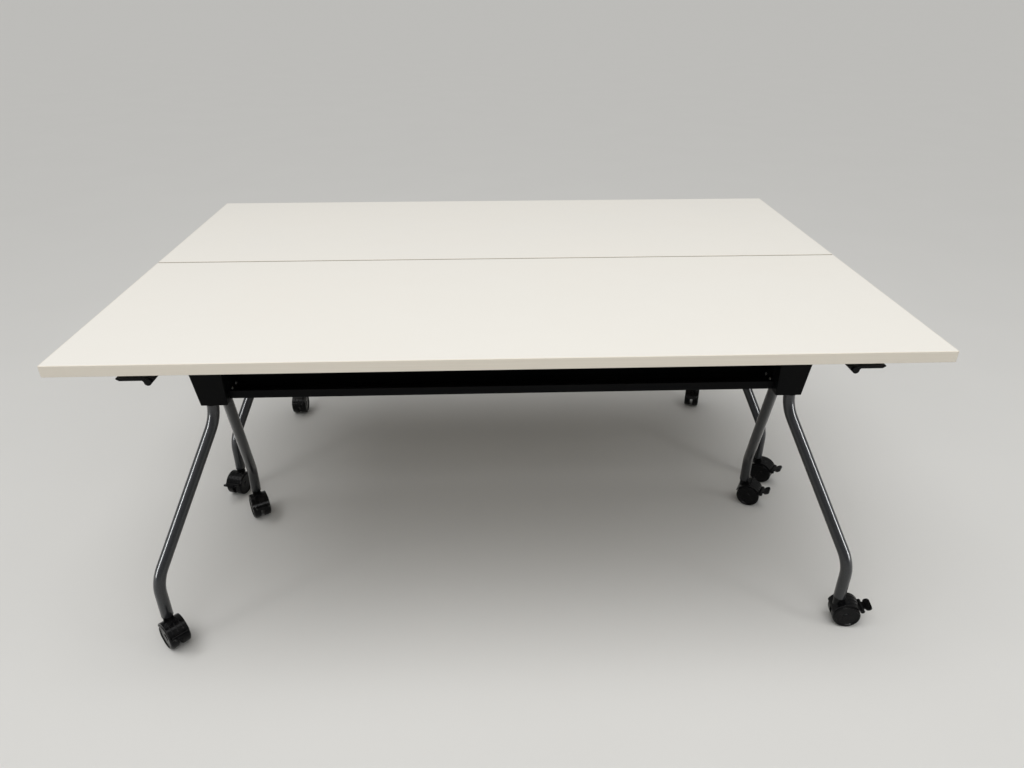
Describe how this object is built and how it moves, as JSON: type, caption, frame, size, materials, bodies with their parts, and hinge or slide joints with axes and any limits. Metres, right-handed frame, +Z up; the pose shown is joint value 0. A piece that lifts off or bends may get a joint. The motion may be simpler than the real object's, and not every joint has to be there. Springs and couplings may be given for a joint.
{
  "type": "mobile conference table",
  "caption": "Mobile conference table of flip-top nesting tables joined along their long edges, with bent-tube legs, cable troughs, release levers and braked casters.",
  "frame": {"origin": "on the floor, under the middle of the outer box of both tables at rest", "axes": "+X to the right along the long edges, +Y from the near table to the far one, +Z up"},
  "size_m": [1.829, 1.2774, 0.749],
  "materials": {
    "laminate": "warm white laminate, satin",
    "edge_band": "warm white edge band, satin",
    "leg_steel": "graphite metallic powder coat, satin",
    "head_steel": "black powder coat, satin",
    "trough_steel": "black powder coat, satin",
    "rail_steel": "black powder coat, satin",
    "zinc": "zinc plate",
    "rubber": "black rubber",
    "black_plastic": "black moulded plastic",
    "caster_black": "black moulded nylon, glossy",
    "wheel_black": "black moulded nylon, satin"
  },
  "bodies": {
    "near_base": {"near_left_leg_head": "head_steel", "near_left_front_leg": "leg_steel", "near_left_rear_leg": "leg_steel", "near_right_leg_head": "head_steel", "near_right_front_leg": "leg_steel", "near_right_rear_leg": "leg_steel", "near_cable_trough": "trough_steel", "near_trough_screws": "zinc", "near_caster_sockets": "black_plastic", "near_pivot_pins": "zinc"},
    "near_top": {"near_tabletop": "laminate", "near_edge_band": "edge_band", "near_flip_rails": "rail_steel", "near_rest_pads": "rubber", "near_top_screws": "zinc", "near_rod_clips": "black_plastic"},
    "near_left_lever": {"near_left_release_lever": "black_plastic"},
    "near_left_front_fork": {"near_left_front_caster_fork": "caster_black"},
    "near_left_front_wheels": {"near_left_front_caster_wheels": "wheel_black"},
    "near_left_front_pedal": {"near_left_front_caster_pedal": "caster_black"},
    "near_left_rear_fork": {"near_left_rear_caster_fork": "caster_black"},
    "near_left_rear_wheels": {"near_left_rear_caster_wheels": "wheel_black"},
    "near_left_rear_pedal": {"near_left_rear_caster_pedal": "caster_black"},
    "near_right_lever": {"near_right_release_lever": "black_plastic"},
    "near_right_front_fork": {"near_right_front_caster_fork": "caster_black"},
    "near_right_front_wheels": {"near_right_front_caster_wheels": "wheel_black"},
    "near_right_front_pedal": {"near_right_front_caster_pedal": "caster_black"},
    "near_right_rear_fork": {"near_right_rear_caster_fork": "caster_black"},
    "near_right_rear_wheels": {"near_right_rear_caster_wheels": "wheel_black"},
    "near_right_rear_pedal": {"near_right_rear_caster_pedal": "caster_black"},
    "far_base": {"far_left_leg_head": "head_steel", "far_left_front_leg": "leg_steel", "far_left_rear_leg": "leg_steel", "far_right_leg_head": "head_steel", "far_right_front_leg": "leg_steel", "far_right_rear_leg": "leg_steel", "far_cable_trough": "trough_steel", "far_trough_screws": "zinc", "far_caster_sockets": "black_plastic", "far_pivot_pins": "zinc"},
    "far_top": {"far_tabletop": "laminate", "far_edge_band": "edge_band", "far_flip_rails": "rail_steel", "far_rest_pads": "rubber", "far_top_screws": "zinc", "far_rod_clips": "black_plastic"},
    "far_left_lever": {"far_left_release_lever": "black_plastic"},
    "far_left_front_fork": {"far_left_front_caster_fork": "caster_black"},
    "far_left_front_wheels": {"far_left_front_caster_wheels": "wheel_black"},
    "far_left_front_pedal": {"far_left_front_caster_pedal": "caster_black"},
    "far_left_rear_fork": {"far_left_rear_caster_fork": "caster_black"},
    "far_left_rear_wheels": {"far_left_rear_caster_wheels": "wheel_black"},
    "far_left_rear_pedal": {"far_left_rear_caster_pedal": "caster_black"},
    "far_right_lever": {"far_right_release_lever": "black_plastic"},
    "far_right_front_fork": {"far_right_front_caster_fork": "caster_black"},
    "far_right_front_wheels": {"far_right_front_caster_wheels": "wheel_black"},
    "far_right_front_pedal": {"far_right_front_caster_pedal": "caster_black"},
    "far_right_rear_fork": {"far_right_rear_caster_fork": "caster_black"},
    "far_right_rear_wheels": {"far_right_rear_caster_wheels": "wheel_black"},
    "far_right_rear_pedal": {"far_right_rear_caster_pedal": "caster_black"}
  },
  "joints": [
    {"name": "near_flip", "type": "hinge", "parent": "near_base", "child": "near_top", "pos_m": [0, -0.2203, 0.712], "axis": [-1, 0, 0], "range_deg": [0, 90]},
    {"name": "near_left_release", "type": "hinge", "parent": "near_top", "child": "near_left_lever", "pos_m": [-0.722, -0.4703, 0.6985], "axis": [0, 1, 0], "range_deg": [0, 14], "stiffness_Nm_per_rad": 0.4, "springref_deg": -8.59},
    {"name": "near_left_front_swivel", "type": "hinge", "parent": "near_base", "child": "near_left_front_fork", "pos_m": [-0.815, -0.5733, 0.09], "axis": [0, 0, 1], "continuous": true},
    {"name": "near_left_front_roll", "type": "hinge", "parent": "near_left_front_fork", "child": "near_left_front_wheels", "pos_m": [-0.80086, -0.58744, 0.033], "axis": [0.7071, 0.7071, 0], "continuous": true},
    {"name": "near_left_front_brake", "type": "hinge", "parent": "near_left_front_fork", "child": "near_left_front_pedal", "pos_m": [-0.77548, -0.61282, 0.0495], "axis": [0.7071, 0.7071, 0], "range_deg": [0, 14]},
    {"name": "near_left_rear_swivel", "type": "hinge", "parent": "near_base", "child": "near_left_rear_fork", "pos_m": [-0.736, -0.0773, 0.09], "axis": [0, 0, 1], "continuous": true},
    {"name": "near_left_rear_roll", "type": "hinge", "parent": "near_left_rear_fork", "child": "near_left_rear_wheels", "pos_m": [-0.72661, -0.09496, 0.033], "axis": [0.8829, 0.4695, 0], "continuous": true},
    {"name": "near_left_rear_brake", "type": "hinge", "parent": "near_left_rear_fork", "child": "near_left_rear_pedal", "pos_m": [-0.70976, -0.12665, 0.0495], "axis": [0.8829, 0.4695, 0], "range_deg": [0, 14]},
    {"name": "near_right_release", "type": "hinge", "parent": "near_top", "child": "near_right_lever", "pos_m": [0.722, -0.4703, 0.6985], "axis": [0, -1, 0], "range_deg": [0, 14], "stiffness_Nm_per_rad": 0.4, "springref_deg": -8.59},
    {"name": "near_right_front_swivel", "type": "hinge", "parent": "near_base", "child": "near_right_front_fork", "pos_m": [0.815, -0.5733, 0.09], "axis": [0, 0, 1], "continuous": true},
    {"name": "near_right_front_roll", "type": "hinge", "parent": "near_right_front_fork", "child": "near_right_front_wheels", "pos_m": [0.83481, -0.57608, 0.033], "axis": [0.1392, 0.9903, 0], "continuous": true},
    {"name": "near_right_front_brake", "type": "hinge", "parent": "near_right_front_fork", "child": "near_right_front_pedal", "pos_m": [0.87035, -0.58108, 0.0495], "axis": [0.1392, 0.9903, 0], "range_deg": [0, 14]},
    {"name": "near_right_rear_swivel", "type": "hinge", "parent": "near_base", "child": "near_right_rear_fork", "pos_m": [0.736, -0.0773, 0.09], "axis": [0, 0, 1], "continuous": true},
    {"name": "near_right_rear_roll", "type": "hinge", "parent": "near_right_rear_fork", "child": "near_right_rear_wheels", "pos_m": [0.75332, -0.0873, 0.033], "axis": [0.5, 0.866, 0], "continuous": true},
    {"name": "near_right_rear_brake", "type": "hinge", "parent": "near_right_rear_fork", "child": "near_right_rear_pedal", "pos_m": [0.7844, -0.10524, 0.0495], "axis": [0.5, 0.866, 0], "range_deg": [0, 14]},
    {"name": "far_table_roll", "type": "slide", "parent": "near_base", "child": "far_base", "axis": [0, 1, 0], "range_m": [0, 0.6]},
    {"name": "far_flip", "type": "hinge", "parent": "far_base", "child": "far_top", "pos_m": [0, 0.3937, 0.712], "axis": [-1, 0, 0], "range_deg": [0, 90]},
    {"name": "far_left_release", "type": "hinge", "parent": "far_top", "child": "far_left_lever", "pos_m": [-0.722, 0.1437, 0.6985], "axis": [0, 1, 0], "range_deg": [0, 14], "stiffness_Nm_per_rad": 0.4, "springref_deg": -8.59},
    {"name": "far_left_front_swivel", "type": "hinge", "parent": "far_base", "child": "far_left_front_fork", "pos_m": [-0.815, 0.0407, 0.09], "axis": [0, 0, 1], "continuous": true},
    {"name": "far_left_front_roll", "type": "hinge", "parent": "far_left_front_fork", "child": "far_left_front_wheels", "pos_m": [-0.82018, 0.02138, 0.033], "axis": [0.9659, -0.2588, 0], "continuous": true},
    {"name": "far_left_front_brake", "type": "hinge", "parent": "far_left_front_fork", "child": "far_left_front_pedal", "pos_m": [-0.82947, -0.01328, 0.0495], "axis": [0.9659, -0.2588, 0], "range_deg": [0, 14]},
    {"name": "far_left_rear_swivel", "type": "hinge", "parent": "far_base", "child": "far_left_rear_fork", "pos_m": [-0.736, 0.5367, 0.09], "axis": [0, 0, 1], "continuous": true},
    {"name": "far_left_rear_roll", "type": "hinge", "parent": "far_left_rear_fork", "child": "far_left_rear_wheels", "pos_m": [-0.736, 0.5167, 0.033], "axis": [1, 0, 0], "continuous": true},
    {"name": "far_left_rear_brake", "type": "hinge", "parent": "far_left_rear_fork", "child": "far_left_rear_pedal", "pos_m": [-0.736, 0.48081, 0.0495], "axis": [1, 0, 0], "range_deg": [0, 14]},
    {"name": "far_right_release", "type": "hinge", "parent": "far_top", "child": "far_right_lever", "pos_m": [0.722, 0.1437, 0.6985], "axis": [0, -1, 0], "range_deg": [0, 14], "stiffness_Nm_per_rad": 0.4, "springref_deg": -8.59},
    {"name": "far_right_front_swivel", "type": "hinge", "parent": "far_base", "child": "far_right_front_fork", "pos_m": [0.815, 0.0407, 0.09], "axis": [0, 0, 1], "continuous": true},
    {"name": "far_right_front_roll", "type": "hinge", "parent": "far_right_front_fork", "child": "far_right_front_wheels", "pos_m": [0.83138, 0.02923, 0.033], "axis": [0.5736, 0.8192, 0], "continuous": true},
    {"name": "far_right_front_brake", "type": "hinge", "parent": "far_right_front_fork", "child": "far_right_front_pedal", "pos_m": [0.86078, 0.00864, 0.0495], "axis": [0.5736, 0.8192, 0], "range_deg": [0, 14]},
    {"name": "far_right_rear_swivel", "type": "hinge", "parent": "far_base", "child": "far_right_rear_fork", "pos_m": [0.736, 0.5367, 0.09], "axis": [0, 0, 1], "continuous": true},
    {"name": "far_right_rear_roll", "type": "hinge", "parent": "far_right_rear_fork", "child": "far_right_rear_wheels", "pos_m": [0.72982, 0.51768, 0.033], "axis": [0.9511, -0.309, 0], "continuous": true},
    {"name": "far_right_rear_brake", "type": "hinge", "parent": "far_right_rear_fork", "child": "far_right_rear_pedal", "pos_m": [0.71873, 0.48355, 0.0495], "axis": [0.9511, -0.309, 0], "range_deg": [0, 14]}
  ]
}
